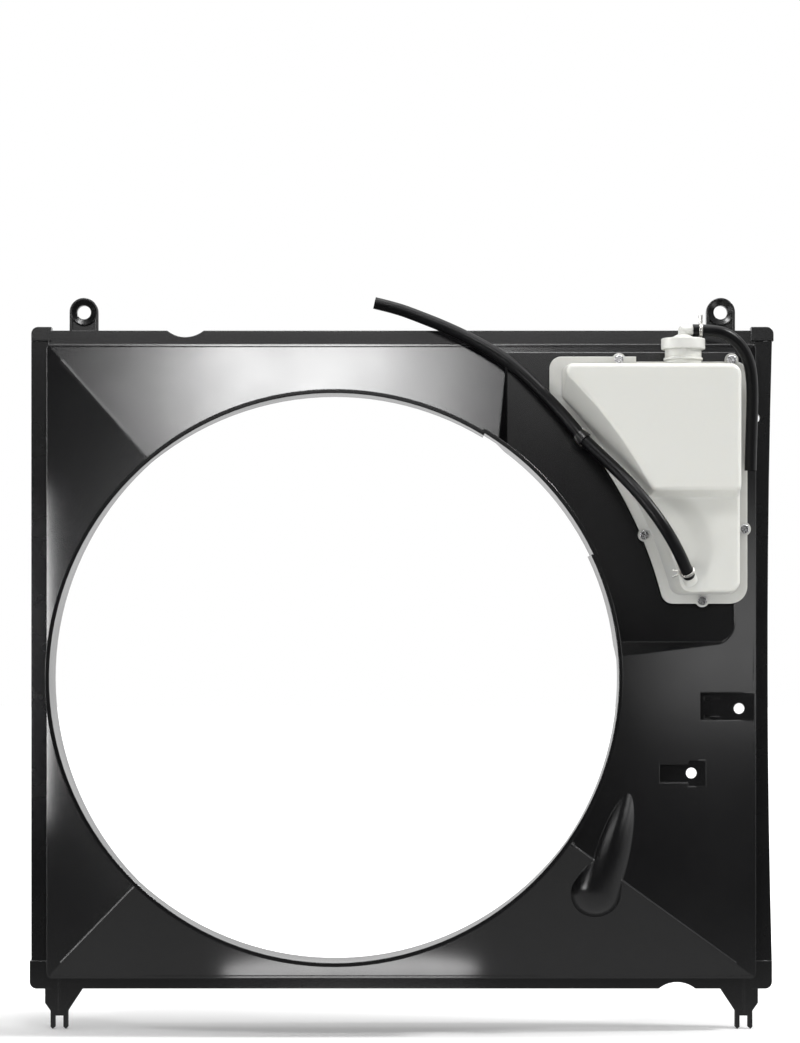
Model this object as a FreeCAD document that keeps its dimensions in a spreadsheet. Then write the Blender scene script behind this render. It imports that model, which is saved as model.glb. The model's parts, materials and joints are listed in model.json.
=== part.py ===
import FreeCAD
import Part
import math
import os
import re

# Radiator fan shroud with its coolant reservoir.
# Millimetres. Origin: the centre of the fan ring on its engine-side lip.
# X runs to the right seen from the engine, Z up, and Y from the engine towards the radiator.

doc = FreeCAD.newDocument("FanShroud")
Vector = FreeCAD.Vector
Rotation = FreeCAD.Rotation
Placement = FreeCAD.Placement

SIZES = {
    # shell of the shroud
    "wall": 2.6,
    "pan_left": -264.9,
    "pan_right": 386.0,
    "pan_bottom": -275.9,
    "pan_top": 306.2,
    "pan_front": 62.0,
    "pan_corner": 5.0,
    "rise_left": 0.36,
    "rise_right": 0.2545,
    "rise_top": 0.3215,
    "rise_bottom": 0.351,
    "peak_front": 4.0,
    "frame_back": 98.0,
    "bead_radius": 1.5,
    "bead_end_radius": 2.8,
    "bead_end_length": 7.0,
    # fan ring
    "ring_bore": 256.5,
    "ring_wall": 2.2,
    "lip_width": 1.6,
    "lip_depth": 3.0,
    "relief_step": 2.2,
    "relief_start": 25.0,
    "relief_end": 59.0,
    # rails round the pan, facing the radiator
    "rail_front": 80.0,
    "rail_thick": 4.0,
    "rail_top": 320.2,
    "rail_bottom": -286.9,
    "rail_left": -280.8,
    "rail_right": 402.5,
    "block_top_rise": 3.3,
    "block_side_rise": 1.4,
    "block_top_height": 13.0,
    "block_bottom_height": 25.8,
    "block_depth": 14.0,
    "block_round": 6.5,
    "block_front_rise": 0.6,
    "notch_radius": 27.0,
    "notch_depth": 6.0,
    "notch_top_x": -138.5,
    "notch_bottom_x": 314.9,
    "edge_hole_radius": 4.6,
    "edge_hole_z": 239.5,
    "flange_front": 84.0,
    "flange_thick": 3.0,
    # edge strips on the two sides
    "strip_leg": 3.0,
    "strip_gap": 0.3,
    "strip_bow": 4.0,
    # top lugs
    "ear_left_x": -232.3,
    "ear_right_x": 355.2,
    "ear_z": 337.1,
    "ear_radius": 13.2,
    "ear_hole": 6.4,
    "ear_thick": 9.0,
    "ear_rib": 2.6,
    "ear_dish_radius": 11.4,
    "ear_dish_depth": 1.6,
    "ear_web_depth": 4.0,
    # forked feet
    "foot_left_x": -254.95,
    "foot_right_x": 376.4,
    "foot_outer": 13.2,
    "foot_inner": 21.6,
    "foot_shoulder_z": -300.0,
    "foot_waist_z": -307.2,
    "foot_bottom_z": -324.0,
    "fork_width": 16.2,
    "fork_slot": 7.4,
    "fork_slot_top": -311.8,
    "foot_thick": 7.0,
    "foot_rib": 2.0,
    "fork_tip": 2.0,
    # recess for the tank
    "pocket_floor": 57.5,
    "pocket_left": 157.4,
    "pocket_right": 366.0,
    "pocket_bottom": 32.7,
    "pocket_top": 298.0,
    "pocket_draft_side": 0.33,
    "pocket_draft_bottom": 0.48,
    "pocket_corner": 16.0,
    # flat clip pads with their holes
    "pad_one_floor": 59.0,
    "pad_one_left": 333.7,
    "pad_one_top": -13.6,
    "pad_one_bottom": -39.1,
    "pad_one_hole_x": 370.2,
    "pad_one_hole_z": -28.1,
    "pad_slot_left": 338.4,
    "pad_slot_right": 343.9,
    "pad_slot_half": 1.7,
    "pad_slot_high": -18.9,
    "pad_slot_low": -36.0,
    "pad_slot_depth": 1.8,
    "pad_rib_length": 8.0,
    "pad_rib_half": 0.6,
    "pad_rib_height": 1.0,
    "pad_two_floor": 48.0,
    "pad_two_left": 296.0,
    "pad_two_step": 322.5,
    "pad_two_right": 338.9,
    "pad_two_top": -78.8,
    "pad_two_bottom": -95.7,
    "pad_two_margin": 3.6,
    "pad_two_hole_x": 325.5,
    "pad_two_hole_z": -87.0,
    "pad_hole": 4.9,
    # blister beside the ring
    "blister_tip_x": 265.6,
    "blister_tip_z": -99.0,
    "blister_foot_x": 237.5,
    "blister_foot_z": -191.9,
    "blister_radius": 27.0,
    "blister_sink": 15.0,
    "blister_tip_share": 0.5,
    "blister_waist_share": 0.86,
    "blister_waist_place": 0.45,
    # reservoir tank
    "tank_wall": 2.4,
    "tank_front": -5.0,
    "tank_low_front": 18.0,
    "tank_flange_front": 47.0,
    "tank_flange_thick": 3.0,
    "tank_back": 56.0,
    "tank_back_margin": 2.2,
    "tank_left": 195.9,
    "tank_right": 376.6,
    "tank_bottom": 67.7,
    "tank_top": 288.7,
    "tank_step_top": 293.4,
    "tank_step_x": 275.0,
    "tank_rim": 8.4,
    "tank_rim_left": 11.4,
    "tank_rim_top": 3.8,
    "tank_draft": 1.8,
    "tank_ledge_z": 169.2,
    "tank_ledge_run": 5.5,
    "shoulder_mid_x": 255.68,
    "shoulder_mid_z": 177.56,
    "shoulder_angle": 30.8,
    "shoulder_edge": 386.6,
    "shoulder_slope": 0.27,
    "tank_flange_round": 11.0,
    "tank_corner_round": 16.0,
    "tank_corner_least": 15.0,
    "tank_corner_across": 20.0,
    "tank_corner_up": 24.0,
    "tank_round": 10.0,
    "tank_small_round": 6.0,
    "tank_round_share": 0.66,
    "tank_edge_round": 4.5,
    "tank_low_edge_round": 3.0,
    "lug_radius": 6.2,
    "lug_inset": 3.0,
    "lug_top_left_x": 259.3,
    "lug_top_right_x": 362.1,
    "lug_right_z": 135.8,
    "lug_bottom_x": 335.4,
    "lug_low_run": -54.0,
    "lug_high_run": 54.0,
    "neck_x": 315.9,
    "neck_y": 21.0,
    "neck_radius": 16.5,
    "neck_wall": 2.2,
    "neck_top": 303.5,
    "neck_bead": 1.2,
    # outlet spout of the tank
    "outlet_x": 321.9,
    "outlet_z": 89.5,
    "outlet_rise": 36.0,
    "outlet_swing": 21.0,
    "outlet_length": 17.0,
    "nipple_radius": 3.4,
    "nipple_bore": 2.2,
    "outlet_collar": 6.2,
    "seat_right": 341.0,
    "seat_top": 106.0,
    "seat_depth": 1.2,
    "seat_run": 6.0,
    "collar_height": 5.0,
    # filler cap
    "cap_clear": 0.35,
    "cap_wall": 3.0,
    "cap_skirt": 10.0,
    "cap_top_thick": 2.4,
    "cap_seal_thick": 1.5,
    "cap_rim_round": 1.2,
    "cap_dome_radius": 12.0,
    "cap_dome_height": 3.5,
    "cap_arm_length": 8.8,
    "cap_elbow_radius": 4.6,
    "cap_elbow_rise": 9.9,
    "cap_nipple_length": 13.0,
    # screws
    "screw_head_radius": 4.4,
    "screw_head_height": 2.6,
    "screw_radius": 2.3,
    "screw_length": 11.0,
    "screw_crown": 1.1,
    "cross_half": 2.2,
    "cross_width": 0.9,
    "cross_depth": 1.1,
    "screw_clear": 0.3,
    "boss_radius": 5.0,
    # hoses
    "hose_radius": 5.5,
    "hose_bore": 3.5,
    "bend_share": 0.45,
    "outlet_first_run": 24.5,
    "overflow_first_run": 21.0,
    # spring clamps
    "clamp_wire": 0.8,
    "clamp_gap": 0.05,
    "clamp_ear": 8.0,
    "clamp_setback": 7.0,
    "clamp_pitch": 0.76,
    "clamp_spread": 0.35,
    # hose clip
    "clip_wall": 1.4,
    "clip_width": 8.0,
    "clip_gap": 0.4,
    "clip_stem": 1.6,
    "clip_tab": 1.2,
    "clip_reach": 6.8,
    "clip_mouth_width": 9.0,
}

sheet = doc.addObject("Spreadsheet::Sheet", "Sheet")
for row, (name, value) in enumerate(SIZES.items(), start=1):
    sheet.set("A%d" % row, name)
    sheet.set("B%d" % row, str(value))
    sheet.setAlias("B%d" % row, name)
doc.recompute()


def size(name):
    """One driving dimension, read from the sheet."""
    return float(sheet.get(name))


def tied(text):
    """An expression on the sheet, written with the plain names of its cells."""
    return re.sub(r"[a-z]+(_[a-z]+)+|\bwall\b", lambda hit: "Sheet." + hit.group(0), text)


def bind(thing, **sizes):
    """Binds properties to expressions, such as Length='pan_right - pan_left'."""
    for prop, text in sizes.items():
        thing.setExpression(prop.replace("__", "."), tied(str(text)))
    return thing


def place(thing, across, along, up, turn=None):
    """Places a piece by three expressions, with an optional fixed turn."""
    if turn is not None:
        thing.Placement = Placement(Vector(), turn)
    return bind(thing, Placement__Base__x=across, Placement__Base__y=along, Placement__Base__z=up)


TO_BACK = Rotation(Vector(1, 0, 0), -90)


def box(name, left, right, front, back, bottom, top):
    """A block between six planes, each given by an expression."""
    block = doc.addObject("Part::Box", name)
    bind(block, Length="(%s) - (%s)" % (right, left), Width="(%s) - (%s)" % (back, front),
         Height="(%s) - (%s)" % (top, bottom))
    return place(block, left, front, bottom)


def wedge(name, front, back, near, far):
    """A block whose front rectangle (near) and back rectangle (far) differ: left, right, bottom, top."""
    form = doc.addObject("Part::Wedge", name)
    form.Xmax = form.X2max = form.Zmax = form.Z2max = form.Ymax = 1000
    return bind(form, Ymin=front, Ymax=back, Xmin=near[0], Xmax=near[1], Zmin=near[2], Zmax=near[3],
                X2min=far[0], X2max=far[1], Z2min=far[2], Z2max=far[3])


def post(name, radius, across, up, front, back):
    """A cylinder along Y."""
    rod = doc.addObject("Part::Cylinder", name)
    bind(rod, Radius=radius, Height="(%s) - (%s)" % (back, front))
    return place(rod, across, front, up, TO_BACK)


def disc(name, radius, across, along, bottom, top):
    """A cylinder along Z."""
    rod = doc.addObject("Part::Cylinder", name)
    bind(rod, Radius=radius, Height="(%s) - (%s)" % (top, bottom))
    return place(rod, across, along, bottom)


def slanted(name, radius, start, direction, length):
    """A cylinder along any direction."""
    rod = doc.addObject("Part::Cylinder", name)
    bind(rod, Radius=radius, Height=length)
    rod.Placement = Placement(start, Rotation(Vector(0, 0, 1), direction))
    return rod


def taper(name, front_radius, back_radius, across, up, front, back):
    """A cone along Y."""
    form = doc.addObject("Part::Cone", name)
    bind(form, Radius1=front_radius, Radius2=back_radius, Height="(%s) - (%s)" % (back, front))
    return place(form, across, front, up, TO_BACK)


def fuse(name, *things):
    """All the given forms as one."""
    whole = doc.addObject("Part::MultiFuse", name)
    whole.Shapes = list(things)
    return whole


def cut(name, base, tool):
    """The base with the tool taken away."""
    rest = doc.addObject("Part::Cut", name)
    rest.Base = base
    rest.Tool = tool
    return rest


def common(name, first, second):
    """What two forms share."""
    both = doc.addObject("Part::Common", name)
    both.Base = first
    both.Tool = second
    return both


def rounded(name, base, radius, chosen):
    """Fillets the edges of the base that the given test picks."""
    doc.recompute()
    fillet = doc.addObject("Part::Fillet", name)
    fillet.Base = base
    picked = [number for number, edge in enumerate(base.Shape.Edges, start=1) if chosen(edge)]
    reach = radius if callable(radius) else lambda edge: radius
    fillet.Edges = [(number, reach(base.Shape.Edges[number - 1]), reach(base.Shape.Edges[number - 1]))
                    for number in picked]
    return fillet


def runs_back(edge):
    """True for an edge that runs along Y."""
    ends = edge.BoundBox
    return ends.YLength > 1 and ends.XLength < 0.3 * ends.YLength and ends.ZLength < 0.3 * ends.YLength


def flat_edge(edge, level):
    """True for an edge that lies in the plane Y = level."""
    ends = edge.BoundBox
    return abs(ends.YMin - level) < 0.01 and abs(ends.YMax - level) < 0.01


def solid(name, shape):
    """A form that only Part's own functions can make."""
    form = doc.addObject("Part::Feature", name)
    form.Shape = shape
    return form


SUBPARTS = []


def subpart(node, thing):
    """Names a finished piece after its node."""
    thing.Label = node
    SUBPARTS.append(thing)
    return thing


# Shell: a shallow pan whose four flat panels rise towards the ring

def pan_form(name, inset, shift):
    """The pan and its panels, drawn in by the inset and moved back by the shift."""
    front = "pan_front + %s" % shift
    peak = "peak_front + %s" % shift
    near = ("pan_left + (pan_front - peak_front) / rise_left",
            "pan_right - (pan_front - peak_front) / rise_right",
            "pan_bottom + (pan_front - peak_front) / rise_bottom",
            "pan_top - (pan_front - peak_front) / rise_top")
    far = ("pan_left", "pan_right", "pan_bottom", "pan_top")
    panels = wedge(name + "_panels", peak, front, near, far)
    tray = box(name + "_tray", "pan_left", "pan_right", front, "frame_back + %s" % shift,
               "pan_bottom", "pan_top")
    prism = box(name + "_prism", "pan_left + %s" % inset, "pan_right - %s" % inset, "0",
                "frame_back + %s" % shift, "pan_bottom + %s" % inset, "pan_top - %s" % inset)
    soft = rounded(name + "_soft", prism, max(size("pan_corner") - inset_value(inset), 0.5), runs_back)
    return common(name, fuse(name + "_fill", panels, tray), soft)


def inset_value(text):
    """The inset of a form as a number, for its fillets."""
    return 0.0 if text == "0" else size(text)


def pocket_form(name, margin, back):
    """The recess for the tank, with its drafted walls."""
    near = ("pocket_left - pocket_draft_side * pocket_floor - %s" % margin, "pocket_right + %s" % margin,
            "pocket_bottom - pocket_draft_bottom * pocket_floor - %s" % margin, "pocket_top + %s" % margin)
    far = ("pocket_left - %s" % margin, "pocket_right + %s" % margin,
           "pocket_bottom - %s" % margin, "pocket_top + %s" % margin)
    form = wedge(name + "_block", "0", "pocket_floor + %s" % back, near, far)
    corner = size("pocket_corner") + inset_value(margin)
    edges = size("pocket_right") - 1

    def lower_right(edge):
        """The corner away from the ring and the top."""
        ends = edge.BoundBox
        return ends.XMin > edges and ends.YLength > 1 and ends.ZMax < size("pocket_top")

    return rounded(name, form, corner, lower_right)


def pad_one(name, margin, back):
    """The clip pad that opens at the right side of the pan."""
    return box(name, "pad_one_left - %s" % margin, "pan_right + 1 - %s" % margin, "0",
               "pad_one_floor + %s" % back, "pad_one_bottom - %s" % margin, "pad_one_top + %s" % margin)


def pad_slot(name, middle):
    """One of the two blind slots in the first pad."""
    return box(name, "pad_slot_left", "pad_slot_right", "pad_one_floor - 2", "pad_one_floor + pad_slot_depth",
               "%s - pad_slot_half" % middle, "%s + pad_slot_half" % middle)


def pad_rib(name, middle):
    """The low rib beside a slot of the first pad."""
    return box(name, "pad_slot_right", "pad_slot_right + pad_rib_length", "pad_one_floor - pad_rib_height",
               "pad_one_floor + 1", "%s - pad_rib_half" % middle, "%s + pad_rib_half" % middle)


def pad_two(name, margin, back):
    """The clip pad in the middle of the right panel: a narrow slot and a square seat."""
    slot = box(name + "_slot", "pad_two_left - %s" % margin, "pad_two_step + %s" % margin, "0",
               "pad_two_floor + %s" % back, "pad_two_bottom - %s" % margin, "pad_two_top + %s" % margin)
    seat = box(name + "_seat", "pad_two_step - %s" % margin, "pad_two_right + %s" % margin, "0",
               "pad_two_floor + %s" % back, "pad_two_bottom - pad_two_margin - %s" % margin,
               "pad_two_top + pad_two_margin + %s" % margin)
    return fuse(name, slot, seat)


def floor_plates(name):
    """The floors of the recess and of the two pads, where they stand proud of the panels."""
    tank_floor = cut(name + "_tank", pocket_form(name + "_tank_block", "0", "wall"),
                     box(name + "_tank_air", "0", "pan_right", "0", "pocket_floor", "0", "pan_top"))
    first = box(name + "_one", "pad_one_left", "pan_right - 1.5", "pad_one_floor", "pad_one_floor + wall",
                "pad_one_bottom", "pad_one_top")
    second = box(name + "_two", "pad_two_step", "pad_two_right", "pad_two_floor", "pad_two_floor + wall",
                 "pad_two_bottom - pad_two_margin", "pad_two_top + pad_two_margin")
    return [tank_floor, first, second]


def panel_level(across, up):
    """Y of the outer face of the panels at a place seen from the front."""
    rises = [(across - size("pan_left")) * size("rise_left"),
             (size("pan_right") - across) * size("rise_right"),
             (up - size("pan_bottom")) * size("rise_bottom"),
             (size("pan_top") - up) * size("rise_top")]
    return size("pan_front") - min(rises)


def blister_form(name, inset):
    """A teardrop that swells out of the panel: a half outline turned about its long axis."""
    tip = Vector(size("blister_tip_x"), 0, size("blister_tip_z"))
    foot = Vector(size("blister_foot_x"), 0, size("blister_foot_z"))
    for end in (tip, foot):
        end.y = panel_level(end.x, end.z) + size("blister_sink")
    length = (foot - tip).Length
    full = size("blister_radius")
    radius = full - inset
    start = Vector(size("blister_tip_share") * full - inset, 0, inset)
    waist = Vector(size("blister_waist_share") * full - inset, 0, size("blister_waist_place") * length)
    widest = Vector(radius, 0, length)
    flank = Vector(radius * math.sqrt(0.5), 0, length + radius * math.sqrt(0.5))
    end = Vector(0, 0, length + radius)
    cap = Part.LineSegment(Vector(0, 0, inset), start)
    side = Part.Arc(start, waist, widest)
    dome = Part.Arc(widest, flank, end)
    axis = Part.LineSegment(end, Vector(0, 0, inset))
    face = Part.Face(Part.Wire([line.toShape() for line in (cap, side, dome, axis)]))
    drop = face.revolve(Vector(), Vector(0, 0, 1), 360)
    form = solid(name, drop)
    form.Placement = Placement(tip, Rotation(Vector(0, 0, 1), foot - tip))
    return form


def crease_bead(name, corner, rises, thick_end=True):
    """A round bead on the crease between two panels, from the corner of the pan to the ring."""
    side, level = rises
    start = Vector(corner[0], size("pan_front"), corner[1])
    reach = Vector(-math.copysign(1 / side, corner[0]), -1, -math.copysign(1 / level, corner[1]))
    flat_start = Vector(start.x, 0, start.z)
    flat_step = Vector(reach.x, 0, reach.z)
    a = flat_step.dot(flat_step)
    b = 2 * flat_start.dot(flat_step)
    c = flat_start.dot(flat_start) - (size("ring_bore") + size("ring_wall") / 2) ** 2
    ring_hit = (-b - math.sqrt(b * b - 4 * a * c)) / (2 * a)
    end = start + reach * ring_hit
    bead = doc.addObject("Part::Cylinder", name)
    bind(bead, Radius="bead_radius")
    inner = start + reach * 5.0
    bead.Height = (end - inner).Length
    bead.Placement = Placement(inner, Rotation(Vector(0, 0, 1), end - inner))
    if not thick_end:
        return [bead]
    reach.normalize()
    stub = slanted(name + "_end", "bead_end_radius", end - reach * size("bead_end_length"), reach,
                   "bead_end_length")
    return [bead, stub]


def sector(name, radius, start, end, front, back):
    """A slice of a disc along Y between two angles measured from +X towards +Z."""
    slice_ = doc.addObject("Part::Cylinder", name)
    bind(slice_, Radius=radius, Height="(%s) - (%s)" % (back, front), Angle="(%s) - (%s)" % (end, start))
    turn = Rotation(Vector(0, 1, 0), -size_of(end)) * TO_BACK
    return place(slice_, "0", front, "0", turn)


def size_of(text):
    """The value of a sum of sheet names and numbers."""
    total = 0.0
    for sign, word in re.findall(r"([+-]?)\s*([a-z_]+|[0-9.]+)", text):
        value = float(word) if word[0].isdigit() else size(word)
        total += -value if sign == "-" else value
    return total


# Rails, corner blocks, lugs and feet

def rail(name, bottom, top):
    """The top or bottom rail, in front of the radiator tank."""
    return box(name, "pan_left", "pan_right", "rail_front", "rail_front + rail_thick", bottom, top)


def corner_block(name, left, right, bottom, top):
    """A thickened corner of the frame with its outer edges rounded."""
    block = box(name + "_block", left, right, "rail_front - block_front_rise", "rail_front + block_depth",
                bottom, top)
    middle_x = (size("rail_left") + size("rail_right")) / 2
    middle_z = (size("rail_bottom") + size("rail_top")) / 2

    def outer(edge):
        """The edge along Y that is farthest from the middle."""
        if not runs_back(edge):
            return False
        reach = abs(edge.BoundBox.Center.x - middle_x) + abs(edge.BoundBox.Center.z - middle_z)
        spans = [abs(e.BoundBox.Center.x - middle_x) + abs(e.BoundBox.Center.z - middle_z)
                 for e in block.Shape.Edges if runs_back(e)]
        return reach > max(spans) - 0.01

    return rounded(name, block, size("block_round"), outer)


def ear(name, across):
    """An eye lug: dished boss on a neck with two side ribs."""
    half = "ear_radius"
    neck = box(name + "_neck", "%s - %s" % (across, half), "%s + %s" % (across, half), "rail_front",
               "rail_front + ear_thick", "pan_top - wall", "ear_z")
    eye = post(name + "_eye", "ear_radius", across, "ear_z", "rail_front", "rail_front + ear_thick")
    web = box(name + "_web", "%s - %s + ear_rib" % (across, half), "%s + %s - ear_rib" % (across, half),
              "rail_front - 1", "rail_front + ear_web_depth", "pan_top + 2", "ear_z")
    ring = post(name + "_ring", "ear_dish_radius + 0.6", across, "ear_z", "rail_front - 1",
                "rail_front + ear_thick")
    dish = taper(name + "_dish", "ear_dish_radius", "ear_hole + 0.8", across, "ear_z", "rail_front",
                 "rail_front + ear_dish_depth")
    lug = fuse(name + "_lug", neck, eye)
    return cut(name, lug, fuse(name + "_air", cut(name + "_side", web, ring), dish))


def foot(name, across, side):
    """A forked foot: a bracket that narrows to a fork, with a rib in its middle."""
    x = size(across)
    rail_z = size("pan_bottom") + size("wall")
    outer = x + side * size("foot_outer")
    inner = x - side * size("foot_inner")
    half = size("fork_width") / 2
    slot = size("fork_slot") / 2
    tip = size("fork_tip")
    low = size("foot_bottom_z")
    waist = size("foot_waist_z")
    roof = size("fork_slot_top")
    profile = [(outer, rail_z), (outer, size("foot_shoulder_z")), (x + side * half, waist),
               (x + side * half, low + tip), (x + side * (half - tip), low),
               (x + side * slot, low + tip), (x + side * slot, roof),
               (x - side * slot, roof), (x - side * slot, low + tip),
               (x - side * (half - tip), low), (x - side * half, low + tip),
               (x - side * half, waist), (inner, size("rail_bottom")), (inner, rail_z)]
    points = [Vector(px, size("rail_front"), pz) for px, pz in profile]
    plate = Part.Face(Part.makePolygon(points + points[:1])).extrude(Vector(0, size("foot_thick"), 0))
    rib = box(name + "_rib", "%s - foot_rib / 2" % across, "%s + foot_rib / 2" % across,
              "rail_front - foot_rib", "rail_front + 1", "foot_waist_z - 1", "pan_bottom + wall")
    return fuse(name, solid(name + "_plate", plate), rib)


def notch(name, across, level, inward):
    """A shallow round notch in a rail, cut inward from its edge."""
    sign = "+" if inward < 0 else "-"
    centre = "%s %s (notch_radius - notch_depth)" % (level, sign)
    return post(name, "notch_radius", across, centre, "rail_front - 2", "rail_front + rail_thick + 2")


SHOULDER_X = "(shoulder_mid_x - shoulder_edge * cos(shoulder_angle))"
SHOULDER_Z = "(shoulder_mid_z - shoulder_edge * sin(shoulder_angle))"


def on_shoulder(run, inset):
    """The place a given run along the shoulder's edge from its middle, and an inset outside it."""
    angle = "(shoulder_angle + %s / shoulder_edge * 180 / pi)" % run
    reach = "(shoulder_edge + %s)" % inset
    return (SHOULDER_X + " + " + reach + " * cos" + angle, SHOULDER_Z + " + " + reach + " * sin" + angle)


LUGS = {
    "top_left": ("lug_top_left_x", "tank_step_top - lug_inset"),
    "top_right": ("lug_top_right_x", "tank_top + lug_inset / 2"),
    "right": ("tank_right - lug_inset", "lug_right_z"),
    "bottom": ("lug_bottom_x", "tank_bottom + lug_inset"),
    "curve_low": on_shoulder("lug_low_run", "lug_inset"),
    "curve_high": on_shoulder("lug_high_run", "lug_inset"),
}


def edge_hole(name, front, back):
    """The D-shaped hole beside the right wall of the pan."""
    drill = post(name + "_round", "edge_hole_radius", "pan_right + 0.8", "edge_hole_z", front, back)
    flat = box(name + "_half", "pan_right + 0.2", "rail_right", front, back,
               "edge_hole_z - 2 * edge_hole_radius", "edge_hole_z + 2 * edge_hole_radius")
    return common(name, drill, flat)


def name_the_walls(shell, ring_zone):
    """Names the walls of the one moulding: its ring, the panels round it and the frame's sides."""
    subpart("fan_ring", common("wall_fan_ring", shell, ring_zone))
    rest = cut("wall_rest", shell, ring_zone)
    low = "pan_bottom + wall"
    high = "pan_top - wall"
    inside = box("inside_zone", "pan_left + wall", "pan_right - wall", "-2", "pan_front + wall + 0.4", low,
                 high)
    panels = common("wall_panels", rest, inside)
    frame = cut("wall_frame", rest, inside)
    far = "2 * rail_right"
    recess_left = "pocket_left - pocket_draft_side * pocket_floor - wall - 1"
    recess_bottom = "pocket_bottom - pocket_draft_bottom * pocket_floor - wall - 1"
    pads_bottom = "pad_two_bottom - 3 * pad_two_margin"
    walls = [("panel_upper_left", panels, "-" + far, recess_left, "0", far),
             ("panel_lower_left", panels, "-" + far, "0", "-" + far, "0"),
             ("panel_lower_right", panels, "0", far, "-" + far, pads_bottom),
             ("panel_right", panels, "0", far, pads_bottom, recess_bottom),
             ("tank_recess", panels, recess_left, far, recess_bottom, far),
             ("frame_top", frame, "-" + far, far, high, far),
             ("frame_bottom", frame, "-" + far, far, "-" + far, low),
             ("frame_left", frame, "pan_left", "0", low, high),
             ("frame_right", frame, "0", "pan_right", low, high),
             ("flange_left", frame, "-" + far, "pan_left", low, high),
             ("flange_right", frame, "pan_right", far, low, high)]
    for node, part, left, right, bottom, top in walls:
        block = box(node + "_zone", left, right, "-2", "frame_back + 2", bottom, top)
        subpart(node, common("wall_" + node, part, block))


def build_shroud():
    """The one-piece moulding of the shroud."""
    panels = cut("panels_cut", pan_form("pan", "0", "0"),
                 fuse("recesses", pocket_form("pocket", "0", "0"), pad_one("pad_one", "0", "0"),
                      pad_two("pad_two", "0", "0")))
    ring = post("ring_outer", "ring_bore + ring_wall", "0", "0", "0", "pan_front")
    lip = post("ring_lip", "ring_bore + ring_wall + lip_width", "0", "0", "0", "lip_depth")
    step = sector("relief_outer", "ring_bore + ring_wall + relief_step", "relief_start", "relief_end",
                  "0", "pan_front")
    step_lip = sector("relief_lip", "ring_bore + ring_wall + relief_step + lip_width", "relief_start",
                      "relief_end", "0", "lip_depth")
    beads = crease_bead("bead_upper_left", (size("pan_left"), size("pan_top")),
                        (size("rise_left"), size("rise_top")))
    beads += crease_bead("bead_lower_left", (size("pan_left"), size("pan_bottom")),
                         (size("rise_left"), size("rise_bottom")), thick_end=False)
    beads += crease_bead("bead_lower_right", (size("pan_right"), size("pan_bottom")),
                         (size("rise_right"), size("rise_bottom")))
    rails = [rail("rail_upper", "pan_top - wall", "rail_top"),
             rail("rail_lower", "rail_bottom", "pan_bottom + wall"),
             box("left_flange", "rail_left + strip_leg + strip_gap", "pan_left + wall", "flange_front",
                 "flange_front + flange_thick", "rail_bottom + 6", "rail_top - 6"),
             box("right_flange", "pan_right - wall", "rail_right - strip_leg - strip_gap - strip_bow",
                 "flange_front", "flange_front + flange_thick", "rail_bottom + 6", "rail_top - 6")]
    blocks = [corner_block("block_upper_left", "rail_left", "pan_left + wall",
                           "rail_top + block_top_rise - block_top_height", "rail_top + block_top_rise"),
              corner_block("block_upper_right", "pan_right - wall", "rail_right + block_side_rise",
                           "rail_top + block_top_rise - block_top_height", "rail_top + block_top_rise"),
              corner_block("block_lower_left", "rail_left - block_side_rise", "pan_left + wall",
                           "rail_bottom", "rail_bottom + block_bottom_height"),
              corner_block("block_lower_right", "pan_right - wall", "rail_right",
                           "rail_bottom", "rail_bottom + block_bottom_height")]
    lugs = [ear("ear_left", "ear_left_x"), ear("ear_right", "ear_right_x")]
    feet = [foot("foot_left", "foot_left_x", -1), foot("foot_right", "foot_right_x", 1)]
    bosses = [post("boss_" + lug, "boss_radius", x, z, "tank_flange_front + tank_flange_thick",
                   "pan_front - 1") for lug, (x, z) in LUGS.items()]
    ribs = [pad_rib("pad_rib_high", "pad_slot_high"), pad_rib("pad_rib_low", "pad_slot_low")]
    outer = fuse("shroud_outer", panels, ring, lip, step, step_lip, blister_form("blister", 0.0),
                 *(beads + rails + blocks + lugs + feet + bosses + ribs + floor_plates("floor")))
    hollow = cut("hollow", pan_form("pan_air", "wall", "wall"),
                 fuse("kept_floors", pocket_form("pocket_back", "wall", "wall"),
                      pad_one("pad_one_back", "wall", "wall"), pad_two("pad_two_back", "wall", "wall")))
    bore = post("ring_air", "ring_bore", "0", "0", "-1", "frame_back + 1")
    step_air = sector("relief_air", "ring_bore + relief_step", "relief_start + 0.6", "relief_end - 0.6",
                      "-1", "pan_front")
    holes = [post("ear_hole_left", "ear_hole", "ear_left_x", "ear_z", "rail_front - 1",
                  "rail_front + ear_thick + 1"),
             post("ear_hole_right", "ear_hole", "ear_right_x", "ear_z", "rail_front - 1",
                  "rail_front + ear_thick + 1"),
             post("pad_one_hole", "pad_hole", "pad_one_hole_x", "pad_one_hole_z", "pad_one_floor - 2",
                  "pad_one_floor + wall + 4"),
             post("pad_two_hole", "pad_hole", "pad_two_hole_x", "pad_two_hole_z", "pad_two_floor - 2",
                  "pad_two_floor + wall + 4"),
             notch("notch_upper", "notch_top_x", "rail_top", -1),
             notch("notch_lower", "notch_bottom_x", "rail_bottom", 1),
             edge_hole("edge_hole", "flange_front - 1", "flange_front + flange_thick + 1"),
             pad_slot("pad_slot_upper", "pad_slot_high"), pad_slot("pad_slot_lower", "pad_slot_low")]
    pilots = [post("pilot_" + lug, "screw_radius + screw_clear / 3", x, z, "tank_flange_front",
                   "pan_front + 3") for lug, (x, z) in LUGS.items()]
    swell = blister_form("blister_air", size("wall"))
    air = fuse("shroud_air", hollow, bore, step_air, swell, *(holes + pilots))
    shell = cut("shroud", outer, air)
    doc.recompute()
    name_the_walls(shell, fuse("ring_zone", ring, lip, step, step_lip))


# Reservoir tank

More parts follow.
